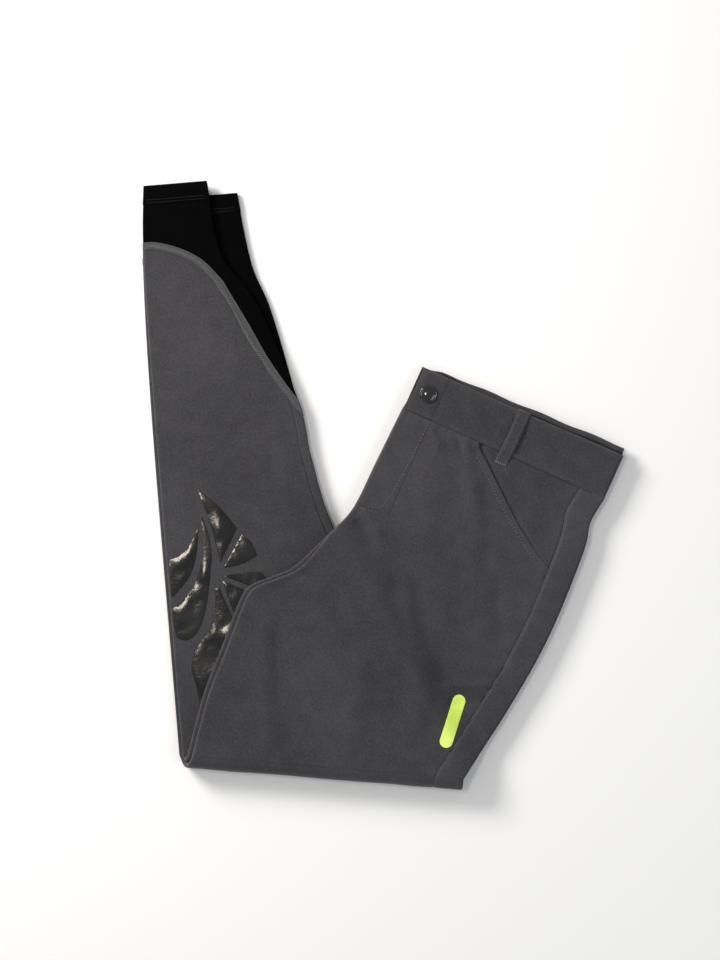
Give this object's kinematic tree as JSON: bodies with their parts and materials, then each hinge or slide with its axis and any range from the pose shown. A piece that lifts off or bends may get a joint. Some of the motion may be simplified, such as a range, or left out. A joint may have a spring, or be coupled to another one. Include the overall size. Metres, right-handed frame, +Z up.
{
  "type": "riding breeches",
  "caption": "Folded riding breeches in stretch cloth with waistband snap, fly zip, slanted pockets, silicone knee grip and stretch sock cuffs.",
  "frame": {"origin": "centre of the folded garment's bounding box, on the surface it lies on", "axes": "+Z up from the surface, +Y from the knee crease towards the cuffs, +X from the lower legs towards the waist"},
  "size_m": [0.478, 0.6074, 0.0251],
  "materials": {
    "stretch_weave": "matte stretch twill",
    "sock_jersey": "matte stretch jersey",
    "seam_thread": "thread",
    "lining": "matte woven lining",
    "pocketing": "mesh lining",
    "silicone_print": "glossy silicone film",
    "reflective_film": "satin transfer film",
    "lacquered_metal": "gloss black lacquer",
    "snap_brass": "plain",
    "zip_plastic": "moulded",
    "zip_tape": "woven tape",
    "label_satin": "satin"
  },
  "bodies": {
    "hips": {"care_label": "label_satin", "centre_back_loop": "stretch_weave", "fly_shield": "stretch_weave", "left_back_panel": "stretch_weave", "left_front_loop": "stretch_weave", "left_front_panel": "stretch_weave", "left_knee_crease": "stretch_weave", "left_pocket_bag": "pocketing", "left_pocket_facing": "stretch_weave", "left_side_loop": "stretch_weave", "left_top_stop": "lacquered_metal", "left_waistband": "stretch_weave", "left_waistband_lining": "lining", "left_zip_tape": "zip_tape", "left_zip_teeth": "zip_plastic", "reflective_bar": "reflective_film", "right_back_loop": "stretch_weave", "right_back_panel": "stretch_weave", "right_front_loop": "stretch_weave", "right_front_panel": "stretch_weave", "right_knee_crease": "stretch_weave", "right_pocket_bag": "pocketing", "right_pocket_facing": "stretch_weave", "right_top_stop": "lacquered_metal", "right_waistband": "stretch_weave", "right_waistband_lining": "lining", "right_zip_tape": "zip_tape", "right_zip_teeth": "zip_plastic", "snap_flange": "snap_brass", "snap_stud": "snap_brass", "zip_bottom_stop": "lacquered_metal"},
    "left_lower_leg": {"left_calf_seam": "seam_thread", "left_knee_grip": "silicone_print", "left_shin_back": "stretch_weave", "left_shin_front": "stretch_weave", "left_sock": "sock_jersey", "left_sock_hem": "sock_jersey"},
    "right_lower_leg": {"right_calf_seam": "seam_thread", "right_knee_grip": "silicone_print", "right_shin_back": "stretch_weave", "right_shin_front": "stretch_weave", "right_sock": "sock_jersey", "right_sock_hem": "sock_jersey"},
    "fly_flap": {"fly_overlap": "stretch_weave", "snap_cap": "lacquered_metal", "snap_socket": "snap_brass", "waistband_tab": "stretch_weave", "waistband_tab_lining": "lining"},
    "zip_slider_body": {"zip_pull": "lacquered_metal", "zip_slider": "lacquered_metal"}
  },
  "joints": [
    {"name": "left_knee_fold", "type": "hinge", "parent": "hips", "child": "left_lower_leg", "pos_m": [-0.18964, -0.2699, 0.0118], "axis": [-0.9968, 0.0802, 0], "range_deg": [0, 178], "deforming": ["left_knee_crease"]},
    {"name": "right_knee_fold", "type": "hinge", "parent": "hips", "child": "right_lower_leg", "pos_m": [-0.18964, -0.2699, 0.0118], "axis": [-0.9968, 0.0802, 0], "range_deg": [0, 178], "deforming": ["right_knee_crease"]},
    {"name": "fly_flap_lift", "type": "hinge", "parent": "hips", "child": "fly_flap", "pos_m": [0.0482, 0.06488, 0.01495], "axis": [0.4115, 0.9114, 0], "range_deg": [0, 150]},
    {"name": "fly_zip_slide", "type": "slide", "parent": "hips", "child": "zip_slider_body", "axis": [-0.4115, -0.9114, 0], "range_m": [0, 0.07]}
  ],
  "couplings": [
    {"joint": "right_knee_fold", "follows": "left_knee_fold", "ratio": 1}
  ]
}
